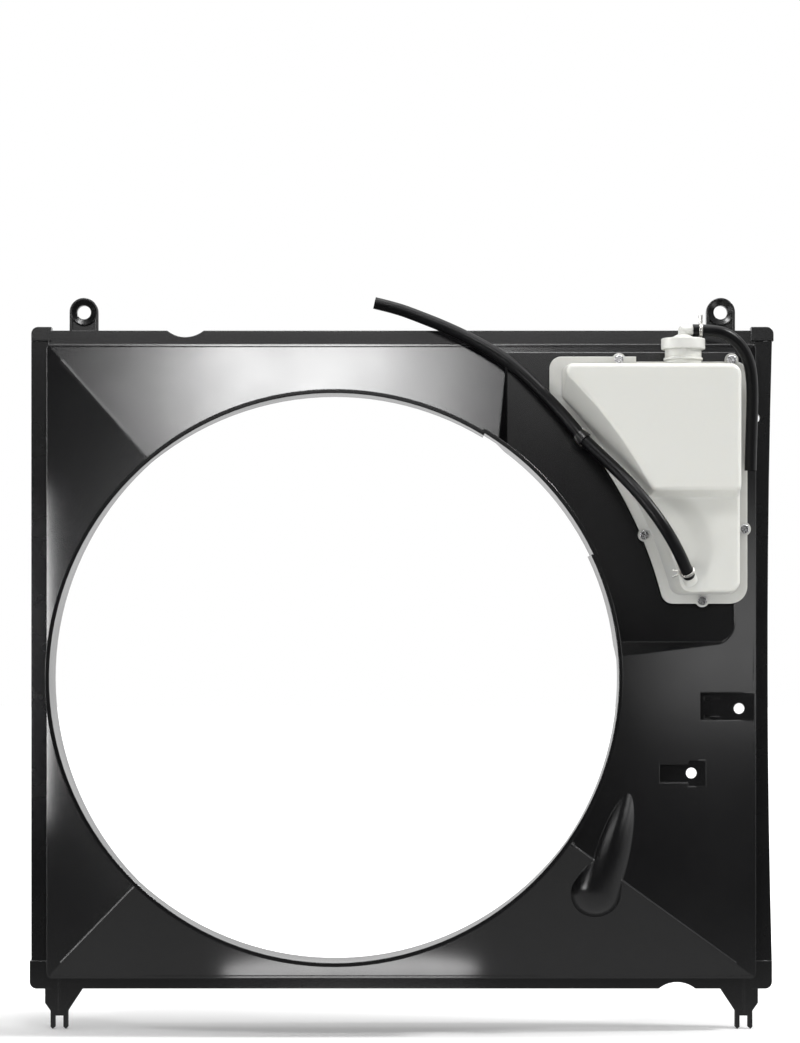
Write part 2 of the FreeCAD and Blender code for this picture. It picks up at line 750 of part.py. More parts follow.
def tank_body(name, inset):
    """The blown body in front of the flange: a deep upper part and a shallow lower part."""
    left = "tank_left + tank_rim_left + %s" % inset
    right = "tank_right - tank_rim - %s" % inset
    top = "tank_top - tank_rim_top - %s" % inset
    bottom = "tank_bottom + tank_rim + %s" % inset
    ledge_far = "tank_ledge_z - tank_ledge_run * (tank_flange_front - tank_front)"
    ledge_far += " / (tank_low_front - tank_front) + %s" % inset
    lean = "tank_draft * (tank_flange_front - tank_low_front - %s)" % inset
    lean += " / (tank_flange_front - tank_front - %s)" % inset
    upper = wedge(name + "_upper", "tank_front + %s" % inset, "tank_flange_front",
                  (left + " + tank_draft", right + " - tank_draft", "tank_ledge_z + %s" % inset,
                   top + " - tank_draft"),
                  (left, right, ledge_far, top))
    lower = wedge(name + "_lower", "tank_low_front + %s" % inset, "tank_flange_front",
                  (left, right + " - " + lean, bottom + " + tank_draft", "tank_ledge_z + tank_rim"),
                  (left, right, bottom, "tank_ledge_z + tank_rim"))
    reach = "shoulder_edge + tank_rim + 1 + %s" % inset
    wide = reach + " + shoulder_slope * (tank_flange_front - tank_front + 10)"
    shoulder = taper(name + "_shoulder", wide, reach, SHOULDER_X, SHOULDER_Z, "tank_front - 10",
                     "tank_flange_front")
    blank = cut(name + "_blank", fuse(name + "_both", upper, lower), shoulder)
    doc.recompute()
    drop = inset_value(inset)
    low_front = size("tank_low_front")
    high = size("tank_front") + drop
    shortest = min(edge.Length for edge in blank.Shape.Edges if flat_edge(edge, high))
    small = min(size("tank_small_round"), size("tank_round_share") * shortest + drop)

    def corner(edge):
        """A corner that runs from a front face towards the flange."""
        ends = edge.BoundBox
        deep = ends.YMin < low_front + drop + 1 and ends.YLength > size("tank_corner_least")
        narrow = ends.XLength < size("tank_corner_across") and ends.ZLength < size("tank_corner_up")
        return deep and narrow and ends.YLength > ends.XLength

    def corner_radius(edge):
        """Small at the upper left, where the front face is short, and on the ledge, larger elsewhere."""
        ends = edge.BoundBox
        upper_left = ends.XMax < size("lug_top_left_x")
        ledge = ends.YMax < size("tank_flange_front") - 1
        radius = size("tank_small_round") if ledge else small if upper_left else size("tank_round")
        return max(radius - drop, 0.8)

    softened = rounded(name + "_corners", blank, corner_radius, corner)
    if inset != "0":
        return softened

    def front_edge(edge):
        """An edge round one of the two front faces."""
        return flat_edge(edge, low_front) or flat_edge(edge, high)

    def edge_radius(edge):
        """Larger round the deep upper part."""
        return size("tank_edge_round") if flat_edge(edge, high) else size("tank_low_edge_round")

    return rounded(name, softened, edge_radius, front_edge)


def tank_flange(name):
    """The parting flange round the tank, with a lug at each screw."""
    front = "tank_flange_front"
    back = "tank_flange_front + tank_flange_thick"
    plate = box(name + "_plate", "tank_left", "tank_right", front, back, "tank_bottom", "tank_step_top")
    step = box(name + "_step", "tank_step_x", "tank_right + 1", front + " - 1", back + " + 1", "tank_top",
               "tank_step_top + 1")
    curve = post(name + "_curve", "shoulder_edge", SHOULDER_X, SHOULDER_Z, front + " - 1", back + " + 1")
    blank = cut(name + "_blank", plate, fuse(name + "_away", step, curve))
    doc.recompute()
    mid_z = (size("tank_bottom") + size("tank_top")) / 2

    def low_right(edge):
        """The large corner at the lower right."""
        ends = edge.BoundBox
        return runs_back(edge) and ends.XMin > size("tank_right") - 1 and ends.ZMax < mid_z

    def other(edge):
        """The three other outer corners."""
        ends = edge.BoundBox
        outer = ends.ZMin > size("tank_step_top") - 1 and ends.XMax < size("tank_left") + 1
        outer = outer or (ends.XMin > size("tank_right") - 1 and ends.ZMin > mid_z)
        outer = outer or (ends.ZMax < size("tank_bottom") + 1 and ends.XMax < size("neck_x"))
        return runs_back(edge) and outer

    softer = rounded(name + "_large", blank, size("tank_corner_round"), low_right)
    softest = rounded(name + "_small", softer, size("tank_flange_round"), other)
    lugs = [post(name + "_lug_" + lug, "lug_radius", x, z, front, back) for lug, (x, z) in LUGS.items()]
    return [softest] + lugs


def tank_back(name, inset):
    """The shallow half of the tank behind the flange."""
    left = "tank_left + tank_rim_left + tank_back_margin + %s" % inset
    right = "tank_right - tank_rim - 2 * tank_back_margin - %s" % inset
    low = "tank_bottom + tank_rim + tank_back_margin + %s" % inset
    high = "tank_top - tank_rim_top - tank_back_margin - %s" % inset
    block = box(name + "_block", left, right, "tank_flange_front", "tank_back - %s" % inset, low, high)
    curve = post(name + "_curve", "shoulder_edge + tank_rim + tank_back_margin + %s" % inset, SHOULDER_X,
                 SHOULDER_Z, "tank_flange_front - 1", "tank_back + 1")
    return cut(name, block, curve)


def outlet_direction():
    """Unit vector of the outlet spout: forward, up and to the left."""
    rise = math.radians(size("outlet_rise"))
    swing = math.radians(size("outlet_swing"))
    return Vector(-math.sin(swing) * math.cos(rise), -math.cos(swing) * math.cos(rise), math.sin(rise))


def outlet_root():
    """Where the axis of the spout meets the front of the lower tank."""
    return Vector(size("outlet_x"), size("tank_low_front"), size("outlet_z"))


def build_tank():
    """The hollow reservoir with its neck and its outlet spout."""
    along = outlet_direction()
    root = outlet_root()
    neck = disc("neck", "neck_radius", "neck_x", "neck_y", "tank_top - tank_rim_top - tank_round", "neck_top")
    bead = disc("neck_ring", "neck_radius + neck_bead", "neck_x", "neck_y", "tank_top - 1", "tank_top + 1")
    collar = slanted("outlet_collar_disc", "outlet_collar", root - along * 3, along, "3 + collar_height")
    nipple = slanted("outlet_nipple", "nipple_radius", root - along * 3, along, "3 + outlet_length")
    seat = wedge("outlet_seat", "tank_low_front - seat_depth", "tank_low_front + seat_depth",
                 ("tank_left", "seat_right + seat_run", "tank_bottom", "seat_top + seat_run"),
                 ("tank_left", "seat_right - seat_run", "tank_bottom", "seat_top - seat_run"))
    body = cut("tank_seated", tank_body("tank_form", "0"), seat)
    skin = fuse("tank_skin", body, tank_back("tank_rear", "0"), neck, bead,
                collar, nipple, *tank_flange("tank_flange"))
    neck_air = disc("neck_air", "neck_radius - neck_wall", "neck_x", "neck_y",
                    "tank_top - tank_rim_top - tank_round", "neck_top + 1")
    spout_air = slanted("outlet_air", "nipple_bore", root - along * 5, along, "6 + outlet_length")
    holes = [post("tank_hole_" + lug, "screw_radius + screw_clear", x, z, "tank_flange_front - 1",
                  "tank_flange_front + tank_flange_thick + 1") for lug, (x, z) in LUGS.items()]
    air = fuse("tank_air", tank_body("tank_inside", "tank_wall"), tank_back("tank_rear_inside", "tank_wall"),
               neck_air, spout_air, *holes)
    subpart("reservoir_tank", cut("tank", skin, air))


# Filler cap, seal, screws

def build_cap():
    """The push-on cap with its elbow and side nipple, and its seal."""
    x, y = "neck_x", "neck_y"
    seat = "neck_top + cap_seal_thick"
    outside = "neck_radius + cap_clear + cap_wall"
    skirt = disc("cap_skirt_disc", outside, x, y, seat + " + cap_top_thick - cap_skirt",
                 seat + " + cap_top_thick")

    def rims(edge):
        """The two round edges of the skirt."""
        return edge.BoundBox.ZLength < 0.01

    skirt_soft = rounded("cap_skirt_soft", skirt, size("cap_rim_round"), rims)
    dome = doc.addObject("Part::Cone", "cap_dome")
    bind(dome, Radius1="cap_dome_radius", Radius2="cap_elbow_radius + 1", Height="cap_dome_height")
    place(dome, x, y, seat + " + cap_top_thick - 0.01")
    riser = disc("cap_riser", "cap_elbow_radius", x, y, seat, seat + " + cap_elbow_rise")
    knee = doc.addObject("Part::Sphere", "cap_knee")
    bind(knee, Radius="cap_elbow_radius")
    place(knee, x, y, seat + " + cap_elbow_rise")
    to_right = Rotation(Vector(0, 1, 0), 90)
    arm = doc.addObject("Part::Cylinder", "cap_arm")
    bind(arm, Radius="cap_elbow_radius", Height="cap_arm_length")
    place(arm, x, y, seat + " + cap_elbow_rise", to_right)
    nipple = doc.addObject("Part::Cylinder", "cap_nipple")
    bind(nipple, Radius="nipple_radius", Height="cap_arm_length + cap_nipple_length")
    place(nipple, x, y, seat + " + cap_elbow_rise", to_right)
    inside = disc("cap_inside", "neck_radius + cap_clear", x, y, seat + " - cap_skirt - 1", seat)
    drill = doc.addObject("Part::Cylinder", "cap_drill")
    bind(drill, Radius="nipple_bore", Height="cap_arm_length + cap_nipple_length + 1")
    place(drill, x, y, seat + " + cap_elbow_rise", to_right)
    well = disc("cap_well", "nipple_bore", x, y, seat + " - 1", seat + " + cap_elbow_rise")
    skin = fuse("cap_skin", skirt_soft, dome, riser, knee, arm, nipple)
    subpart("filler_cap", cut("cap", skin, fuse("cap_air", inside, drill, well)))
    ring = disc("seal_ring", "neck_radius + cap_clear - 0.2", x, y, "neck_top", seat)
    hole = disc("seal_hole", "neck_radius - neck_wall + 0.4", x, y, "neck_top - 1", seat + " + 1")
    subpart("cap_seal", cut("seal", ring, hole))


def build_screws():
    """Six pan-head screws along Y."""
    for lug, (x, z) in LUGS.items():
        lift = "clip_tab" if lug == "curve_high" else "0"
        seat = "tank_flange_front - %s" % lift
        head = post("head_" + lug, "screw_head_radius", x, z, seat + " - screw_head_height", seat)

        def top_rim(edge):
            """The outer edge of the head."""
            return edge.BoundBox.YMax < size_of(seat) - 1

        crown = rounded("crown_" + lug, head, size("screw_crown"), top_rim)
        shank = post("shank_" + lug, "screw_radius", x, z, seat + " - 0.5", seat + " + screw_length")
        above = seat + " - screw_head_height - 1"
        deep = seat + " - screw_head_height + cross_depth"
        cross = fuse("cross_" + lug,
                     box("slot_a_" + lug, x + " - cross_half", x + " + cross_half", above, deep,
                         z + " - cross_width / 2", z + " + cross_width / 2"),
                     box("slot_b_" + lug, x + " - cross_width / 2", x + " + cross_width / 2", above, deep,
                         z + " - cross_half", z + " + cross_half"))
        subpart("screw_" + lug, cut("screw_piece_" + lug, fuse("screw_blank_" + lug, crown, shank), cross))


# Hoses, spring clamps and the hose clip

def bend(before, here, after):
    """The tangent arc that turns a route at one point: its two ends, its middle and its radius."""
    inward = here - before
    outward = after - here
    reach = size("bend_share") * min(inward.Length, outward.Length)
    turn = inward.getAngle(outward)
    inward.normalize()
    outward.normalize()
    radius = reach / math.tan(turn / 2)
    bisector = outward - inward
    bisector.normalize()
    middle = here + bisector * (radius / math.cos(turn / 2) - radius)
    return here - inward * reach, middle, here + outward * reach, radius


def hose(node, route):
    """A rubber tube whose straight runs are joined by tangent arcs as large as the runs allow."""
    edges = []
    radii = []
    last = route[0]
    for before, here, after in zip(route, route[1:], route[2:]):
        first, middle, second, radius = bend(before, here, after)
        edges.append(Part.LineSegment(last, first).toShape())
        edges.append(Part.Arc(first, middle, second).toShape())
        radii.append(radius)
        last = second
    edges.append(Part.LineSegment(last, route[-1]).toShape())
    path = Part.Wire(edges)
    start = route[1] - route[0]
    walls = []
    for radius in (size("hose_radius"), size("hose_bore")):
        ring = Part.Wire([Part.Circle(route[0], start, radius).toShape()])
        walls.append(path.makePipeShell([ring], True, False))
    tube = walls[0].cut(walls[1])
    section = math.pi * (size("hose_radius") ** 2 - size("hose_bore") ** 2)
    print("%s length %.1f, volume ratio %.4f" % (node, path.Length, tube.Volume / (section * path.Length)))
    print("  bend radii", " ".join("%.0f" % radius for radius in radii))
    return subpart(node, solid(node + "_tube", tube))


def outlet_hose_route():
    """From the spout up along the curve of the tank to a free end above the top rail."""
    start = outlet_root() + outlet_direction() * size("collar_height")
    first = start + outlet_direction() * size("outlet_first_run")
    rest = [(299.5, -14.0, 130.9), (281.9, -10.0, 156.2), (262.9, 2.0, 179.2), (243.1, 17.0, 199.4),
            (225.2, 30.0, 217.9), (206.9, 38.0, 240.7), (187.9, 42.0, 261.1), (168.9, 46.0, 280.1),
            (149.8, 50.0, 295.4), (127.1, 56.0, 308.8), (102.5, 60.0, 321.0), (75.9, 63.0, 331.9),
            (55.7, 64.0, 339.4), (36.0, 64.0, 344.0)]
    return [start, first] + [Vector(*point) for point in rest]


def overflow_hose_route():
    """From the cap's nipple to the right and down beside the tank to a free end."""
    level = size("neck_top") + size("cap_seal_thick") + size("cap_elbow_rise")
    start = Vector(size("neck_x") + size("cap_arm_length"), size("neck_y"), level)
    first = start + Vector(size("overflow_first_run"), 0, 0)
    rest = [(359.5, 24.0, 309.9), (371.3, 28.0, 299.0), (378.0, 32.0, 283.5), (380.1, 35.0, 263.7),
            (379.7, 36.0, 236.5), (378.9, 36.5, 210.1), (378.4, 36.5, 188.7)]
    return [start, first] + [Vector(*point) for point in rest]


def spring_clamp(node, centre, axis, ears):
    """A double wire ring round a hose, with two ears that are squeezed to open it."""
    across = size("hose_radius") + size("clamp_wire") + size("clamp_gap")
    spread = axis.cross(ears)
    parts = []
    for number, side in enumerate((-1, 1)):
        middle = centre + axis * (side * size("clamp_pitch"))
        ring = doc.addObject("Part::Torus", "%s_ring_%d" % (node, number))
        bind(ring, Radius1="hose_radius + clamp_wire + clamp_gap", Radius2="clamp_wire")
        ring.Placement = Placement(middle, Rotation(Vector(0, 0, 1), axis))
        way = ears + spread * (size("clamp_spread") * side)
        way.normalize()
        parts += [ring, slanted("%s_ear_%d" % (node, number), "clamp_wire", middle + way * across, way,
                                "clamp_ear")]
    subpart(node, fuse(node + "_wire", *parts))


def build_clip(before, here, after):
    """A C-shaped clip round a bend of the hose, on a tab under the head of the nearest screw."""
    first, point, second, radius = bend(before, here, after)
    axis = second - first
    axis.normalize()
    x, z = LUGS["curve_high"]
    outer = slanted("clip_outer", "hose_radius + clip_gap + clip_wall",
                    point - axis * (size("clip_width") / 2), axis, "clip_width")
    inner = slanted("clip_inner", "hose_radius + clip_gap", point - axis * size("clip_width"), axis,
                    "clip_width * 2")
    mouth = doc.addObject("Part::Box", "clip_mouth_box")
    bind(mouth, Length="clip_mouth_width", Width="hose_radius * 4", Height="clip_width * 4")
    forward = Vector(0, -1, 0)
    forward = forward - axis * forward.dot(axis)
    forward.normalize()
    side = axis.cross(forward)
    frame = FreeCAD.Matrix(side.x, forward.x, axis.x, 0, side.y, forward.y, axis.y, 0,
                           side.z, forward.z, axis.z, 0, 0, 0, 0, 1)
    corner = point - side * (size("clip_mouth_width") / 2) - axis * (size("clip_width") * 2)
    mouth.Placement = Placement(corner, Placement(frame).Rotation)
    band = cut("clip_band", outer, mouth)
    stem_x, stem_z = on_shoulder("lug_high_run", "lug_inset - clip_reach")
    tab_end = post("clip_tab_end", "screw_head_radius + 0.8", x, z, "tank_flange_front - clip_tab",
                   "tank_flange_front")
    tab_way = post("clip_tab_way", "clip_stem + 1", stem_x, stem_z, "tank_flange_front - clip_tab",
                   "tank_flange_front")
    doc.recompute()
    heel = tab_way.Placement.Base + Vector(0, size("clip_tab") / 2, 0)
    stem = slanted("clip_stem_post", "clip_stem", heel, point - heel, "%f" % (point - heel).Length)
    hole = post("clip_hole", "screw_radius + screw_clear", x, z, "tank_flange_front - clip_tab - 1",
                "tank_flange_front + 1")
    body = fuse("clip_body", band, stem, tab_end, tab_way)
    subpart("hose_clip", cut("clip", body, fuse("clip_air", inner, hole)))


def build_strips():
    """The two edge strips that cover the side flanges between the corner blocks."""
    bottom = "rail_bottom + block_bottom_height + strip_gap"
    top = "rail_top + block_top_rise - block_top_height - strip_gap"
    left = box("strip_left_block", "rail_left", "pan_left - strip_gap", "rail_front", "frame_back",
               bottom, top)
    left_air = box("strip_left_air", "rail_left + strip_leg", "pan_left", "flange_front", "frame_back + 1",
                   "%s - 1" % bottom, "%s + 1" % top)
    subpart("side_strip_left", cut("strip_left", left, left_air))
    length = "(rail_top + block_top_rise - block_top_height - rail_bottom - block_bottom_height)"
    curve = "(%s ^ 2 / (8 * strip_bow))" % length
    middle = "(rail_top + block_top_rise - block_top_height + rail_bottom + block_bottom_height) / 2"
    centre = "rail_right - strip_bow + " + curve
    block = box("strip_right_block", "pan_right + strip_gap", "rail_right + 1", "rail_front", "frame_back",
                bottom, top)
    bow = post("strip_bow_outer", curve, centre, middle, "rail_front - 1", "frame_back + 1")
    inner_bow = post("strip_bow_inner", curve + " + strip_leg", centre, middle, "flange_front",
                     "frame_back + 2")
    inner = box("strip_right_inner", "pan_right", "rail_right", "flange_front", "frame_back + 1",
                "%s - 1" % bottom, "%s + 1" % top)
    air = cut("strip_right_air", inner, inner_bow)
    hole = edge_hole("strip_hole", "rail_front - 1", "flange_front + 1")
    subpart("side_strip_right", cut("strip_right", block, fuse("strip_right_away", bow, air, hole)))


build_shroud()
build_tank()
build_cap()
build_screws()
build_strips()
main_route = outlet_hose_route()
hose("outlet_hose", main_route)
spare_route = overflow_hose_route()
hose("overflow_hose", spare_route)
spout = outlet_direction()
spring_clamp("outlet_clamp", main_route[0] + spout * size("clamp_setback"), spout,
             Vector(-1, 0, 0) - spout * Vector(-1, 0, 0).dot(spout))
pull = spare_route[1] - spare_route[0]
pull.normalize()
spring_clamp("overflow_clamp", spare_route[0] + pull * size("clamp_setback"), pull,
             Vector(0, 0, 1) - pull * pull.z)
build_clip(*main_route[5:8])
doc.recompute()
for thing in doc.Objects:
    if "Invalid" in thing.State or "Error" in thing.State:
        raise RuntimeError("bad state: %s %s" % (thing.Name, thing.State))
for piece in SUBPARTS:
    shape = piece.Shape
    if shape.isNull() or not shape.isValid() or len(shape.Solids) != 1:
        raise RuntimeError("bad shape: " + piece.Label)
os.makedirs("parts", exist_ok=True)
for piece in SUBPARTS:
    print(piece.Label, "volume %.0f" % piece.Shape.Volume, piece.Shape.BoundBox)
    piece.Shape.exportStep("parts/%s.step" % piece.Label)
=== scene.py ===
# %% [markdown]
# # A radiator fan shroud with its coolant reservoir
# This lesson dresses a finished CAD model. The model comes in as a fixed frame, in metres.
# X runs to the right as the engine sees the part, Z up, and Y along the fan axis towards the radiator.
# Every piece made here sits where a CAD piece says, so nothing is fitted by eye.

# %% Load the frame
import json
import math

import bpy
import numpy as np
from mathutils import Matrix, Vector
from mathutils.bvhtree import BVHTree


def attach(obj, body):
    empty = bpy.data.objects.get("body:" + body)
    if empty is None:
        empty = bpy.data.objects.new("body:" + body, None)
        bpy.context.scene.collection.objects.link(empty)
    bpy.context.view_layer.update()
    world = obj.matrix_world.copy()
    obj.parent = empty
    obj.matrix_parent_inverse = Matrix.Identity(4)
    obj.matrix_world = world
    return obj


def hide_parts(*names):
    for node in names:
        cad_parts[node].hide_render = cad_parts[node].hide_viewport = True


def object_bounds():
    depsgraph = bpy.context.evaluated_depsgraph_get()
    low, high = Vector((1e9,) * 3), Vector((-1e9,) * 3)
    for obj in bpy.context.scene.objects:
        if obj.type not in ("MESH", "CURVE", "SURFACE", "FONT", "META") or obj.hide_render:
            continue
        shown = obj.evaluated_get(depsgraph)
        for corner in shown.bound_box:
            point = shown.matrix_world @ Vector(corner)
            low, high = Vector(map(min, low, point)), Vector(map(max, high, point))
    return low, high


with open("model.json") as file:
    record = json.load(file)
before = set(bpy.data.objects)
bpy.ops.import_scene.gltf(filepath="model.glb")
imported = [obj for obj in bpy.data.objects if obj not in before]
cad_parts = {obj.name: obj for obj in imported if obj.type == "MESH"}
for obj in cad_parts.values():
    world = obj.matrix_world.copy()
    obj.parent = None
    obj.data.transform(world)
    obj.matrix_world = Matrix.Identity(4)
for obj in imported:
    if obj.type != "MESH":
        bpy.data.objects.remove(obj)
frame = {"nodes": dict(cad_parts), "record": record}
nodes = frame["nodes"]
cad_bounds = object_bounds()
print("nodes", len(nodes), "bounds", cad_bounds)

# %% [markdown]
# ## The camera
# The photograph was taken from straight in front with a long lens. A lens of about 120 mm at 3.2 metres
# gives the same slight perspective. The lens axis meets the picture well below its middle. The camera could
# be tilted for that, but then upright edges would lean, so the lens is shifted instead.

# %% Camera
picture_wide = 800
picture_high = 1043
axis_pixel = (402.0, 663.0)
metre_per_pixel = 0.0009
eye = Vector((0.0612, -3.2, 0.0135))
camera_data = bpy.data.cameras.new("camera")
camera_data.sensor_width = 36.0
camera_data.lens = camera_data.sensor_width * abs(eye.y) / (picture_high * metre_per_pixel)
camera_data.shift_x = (picture_wide / 2 - axis_pixel[0]) / picture_high
camera_data.shift_y = (axis_pixel[1] - picture_high / 2) / picture_high
camera = bpy.data.objects.new("camera", camera_data)
camera.location = eye
camera.rotation_euler = (math.radians(90), 0, 0)
bpy.context.scene.collection.objects.link(camera)
bpy.context.scene.camera = camera
bpy.context.scene.view_settings.view_transform = "Standard"
print("lens %.1f mm, shift %.4f" % (camera_data.lens, camera_data.shift_y))

# %% [markdown]
# ## The two hoses
# A hose is one flexible thing of a fixed length, so it is drawn as one smooth line with a round section.
# A mesh tube would also do, but a curve keeps its roundness at any distance and its line can be measured.
# The points are the same as the ones that the CAD tubes turn at, in metres.

# %% Hose maker
hose_across = 0.011
steps_along = 16
steps_round = 10


def hose_line(name, points):
    """A rubber hose with a round section, bent as a chain of parabolas.

    Between the middles of two neighbouring legs, the line is a parabola that the point they share pulls.
    """
    data = bpy.data.curves.new(name, "CURVE")
    data.dimensions = "3D"
    spline = data.splines.new("NURBS")
    spline.points.add(len(points) - 1)
    for point, place in zip(spline.points, points):
        point.co = (*place, 1.0)
        point.radius = hose_across / 2
    spline.order_u = 3
    spline.use_endpoint_u = True
    spline.resolution_u = steps_along
    data.bevel_depth = 1.0
    data.bevel_resolution = steps_round
    data.use_fill_caps = False
    piece = bpy.data.objects.new(name, data)
    bpy.context.scene.collection.objects.link(piece)
    return piece


print("a hose is %.0f mm across" % (hose_across * 1000))

# %% [markdown]
# The long hose leaves the spout low on the reservoir, bows out over the ledge, and lies along the curve
# between the reservoir and the ring until its free end stands above the top rail. It is limp enough to bend
# but keeps wide curves, because its wall is two millimetres thick.

# %% Long hose
outlet_points = [(0.3205, 0.0142, 0.0924), (0.3133, -0.0043, 0.1068), (0.2995, -0.0140, 0.1309),
                 (0.2819, -0.0100, 0.1562), (0.2629, 0.0020, 0.1792), (0.2431, 0.0170, 0.1994),
                 (0.2252, 0.0300, 0.2179), (0.2069, 0.0380, 0.2407), (0.1879, 0.0420, 0.2611),
                 (0.1689, 0.0460, 0.2801), (0.1498, 0.0500, 0.2954), (0.1271, 0.0560, 0.3088),
                 (0.1025, 0.0600, 0.3210), (0.0759, 0.0630, 0.3319), (0.0557, 0.0640, 0.3394),
                 (0.0360, 0.0640, 0.3440)]
long_hose = hose_line("long_hose", outlet_points)
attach(long_hose, "root")
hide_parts("outlet_hose")
print("long hose points", len(outlet_points))

# %% [markdown]
# The short hose is pushed on the nipple of the filler cap. It turns down beside the reservoir and ends
# open, as an overflow does. It belongs to the cap, so it rides with the cap when that is pulled off.

# %% Short hose
overflow_points = [(0.3247, 0.0210, 0.3149), (0.3457, 0.0210, 0.3149), (0.3595, 0.0240, 0.3099),
                   (0.3713, 0.0280, 0.2990), (0.3780, 0.0320, 0.2835), (0.3801, 0.0350, 0.2637),
                   (0.3797, 0.0360, 0.2365), (0.3789, 0.0365, 0.2101), (0.3784, 0.0365, 0.1887)]
short_hose = hose_line("short_hose", overflow_points)
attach(short_hose, "cap")
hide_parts("overflow_hose")
print("short hose points", len(overflow_points))

# %% [markdown]
# ## A small kit for materials
# A procedural material is a graph of nodes. It could be joined by hand in the shader editor, but a few
# helpers build every graph in the same way and keep each finish short. All patterns read Object
# coordinates, in metres, so a pattern has a real size on every piece.

# %% Node helpers


def new_material(name, colour, roughness):
    """A material with one Principled shader, returned with its node tree and the shader."""
    material = bpy.data.materials.new(name)
    material.use_nodes = True
    tree = material.node_tree
    shader = tree.nodes["Principled BSDF"]
    shader.inputs["Base Color"].default_value = (*colour, 1)
    shader.inputs["Roughness"].default_value = roughness
    return material, tree, shader


def add_node(tree, kind, **settings):
    """A node with the given settings, each an input, named with spaces as underscores, or a property."""
    node = tree.nodes.new(kind)
    for key, value in settings.items():
        socket = node.inputs.get(key.replace("_", " "))
        if socket is not None:
            socket.default_value = value
        else:
            setattr(node, key, value)
    return node


def combine(tree, operation, first, second):
    """One number from two sockets, by addition, multiplication or the like."""
    node = add_node(tree, "ShaderNodeMath", operation=operation)
    tree.links.new(first, node.inputs[0])
    tree.links.new(second, node.inputs[1])
    return node.outputs[0]


def coordinate(tree, axis, space="Object"):
    """The X, Y or Z of the point that is shaded; in a world, the space Generated gives the direction."""
    place = add_node(tree, "ShaderNodeTexCoord")
    parts = add_node(tree, "ShaderNodeSeparateXYZ")
    tree.links.new(place.outputs[space], parts.inputs[0])
    return parts.outputs[axis]


print("materials before the first finish", len(bpy.data.materials))

# %% [markdown]
# No real surface is the same all over. Noise gives a pattern of clouds of a chosen size, and the next
# helpers turn such a pattern into a number, a colour or a relief. An image could do the same but would have
# to be painted and wrapped, and noise simply fills space.

# %% Pattern helpers
edge_rays = 6


def noise(tree, waves, detail=4.0, rough=0.5):
    """A cloudy pattern from 0 to 1 with the given number of waves in a metre, on Object coordinates."""
    place = add_node(tree, "ShaderNodeTexCoord")
    texture = add_node(tree, "ShaderNodeTexNoise", Scale=waves, Detail=detail, Roughness=rough)
    tree.links.new(place.outputs["Object"], texture.inputs["Vector"])
    return texture.outputs["Fac"]


def spread(tree, source, low, high, low_in=0.3, high_in=0.7):
    """Maps a number in a straight line: low_in becomes low, high_in becomes high, and it stays between."""
    node = add_node(tree, "ShaderNodeMapRange")
    node.inputs["From Min"].default_value = low_in
    node.inputs["From Max"].default_value = high_in
    node.inputs["To Min"].default_value = low
    node.inputs["To Max"].default_value = high
    tree.links.new(source, node.inputs["Value"])
    return node.outputs["Result"]


def vary(tree, shader, socket, pattern, low, high):
    """Lets one number of a shader follow a pattern between a low and a high value."""
    tree.links.new(spread(tree, pattern, low, high), shader.inputs[socket])


def shades(tree, source, first, second):
    """A colour that goes from the first to the second as the source goes from 0 to 1."""
    node = add_node(tree, "ShaderNodeMix", data_type="RGBA")
    ends = [socket for socket in node.inputs if socket.type == "RGBA"]
    ends[0].default_value = (*first, 1)
    ends[1].default_value = (*second, 1)
    tree.links.new(source, node.inputs[0])
    return [socket for socket in node.outputs if socket.type == "RGBA"][0]


def relief(tree, shader, height, distance, strength=1.0, edge=0.0):
    """Bends the shading normal by a height pattern, and rounds the edges if an edge radius is given."""
    bump = add_node(tree, "ShaderNodeBump", Strength=strength, Distance=distance)
    tree.links.new(height, bump.inputs["Height"])
    if edge > 0:
        rim = add_node(tree, "ShaderNodeBevel", samples=edge_rays)
        rim.inputs["Radius"].default_value = edge
        tree.links.new(rim.outputs["Normal"], bump.inputs["Normal"])
    tree.links.new(bump.outputs["Normal"], shader.inputs["Normal"])
    return bump


def report(material):
    """Prints how large the graph of a finished material is."""
    print(material.name, "nodes", len(material.node_tree.nodes))


print("rays for a soft edge", edge_rays)

# %% [markdown]
# ## The black moulding
# The shroud is polypropylene from a polished mould: black, smooth and fairly glossy. What makes it real is
# that no panel is quite flat. A slow wave in the surface bends the reflections, a fine grain softens them,
# and the gloss itself varies a little where the plastic flowed.

# %% Black plastic
black_plastic, tree, shader = new_material("black_plastic", (0.006, 0.006, 0.0065), 0.26)
shader.inputs["Specular IOR Level"].default_value = 0.85
vary(tree, shader, "Roughness", noise(tree, waves=9.0, detail=3.0), low=0.20, high=0.26)
flow = shades(tree, noise(tree, waves=60.0, detail=6.0), (0.0025, 0.0025, 0.003), (0.005, 0.005, 0.0055))
tree.links.new(flow, shader.inputs["Base Color"])
wave = relief(tree, shader, noise(tree, waves=5.0, detail=2.0), distance=0.0012, strength=0.5,
              edge=0.0013)
grain = add_node(tree, "ShaderNodeBump", Strength=0.10, Distance=0.00006)
tree.links.new(noise(tree, waves=1800.0, detail=3.0), grain.inputs["Height"])
tree.links.new(wave.outputs["Normal"], grain.inputs["Normal"])
tree.links.new(grain.outputs["Normal"], shader.inputs["Normal"])
report(black_plastic)

# %% [markdown]
# The edge strips on the two sides are pushed on, and are a softer, duller plastic than the moulding. They
# could share its material, but then the joint between strip and shroud would be lost.

# %% Strip plastic
strip_plastic, tree, shader = new_material("strip_plastic", (0.006, 0.006, 0.0065), 0.36)
vary(tree, shader, "Roughness", noise(tree, waves=25.0), low=0.23, high=0.30)
relief(tree, shader, noise(tree, waves=900.0, detail=3.0), distance=0.0001, strength=0.2, edge=0.0009)
report(strip_plastic)

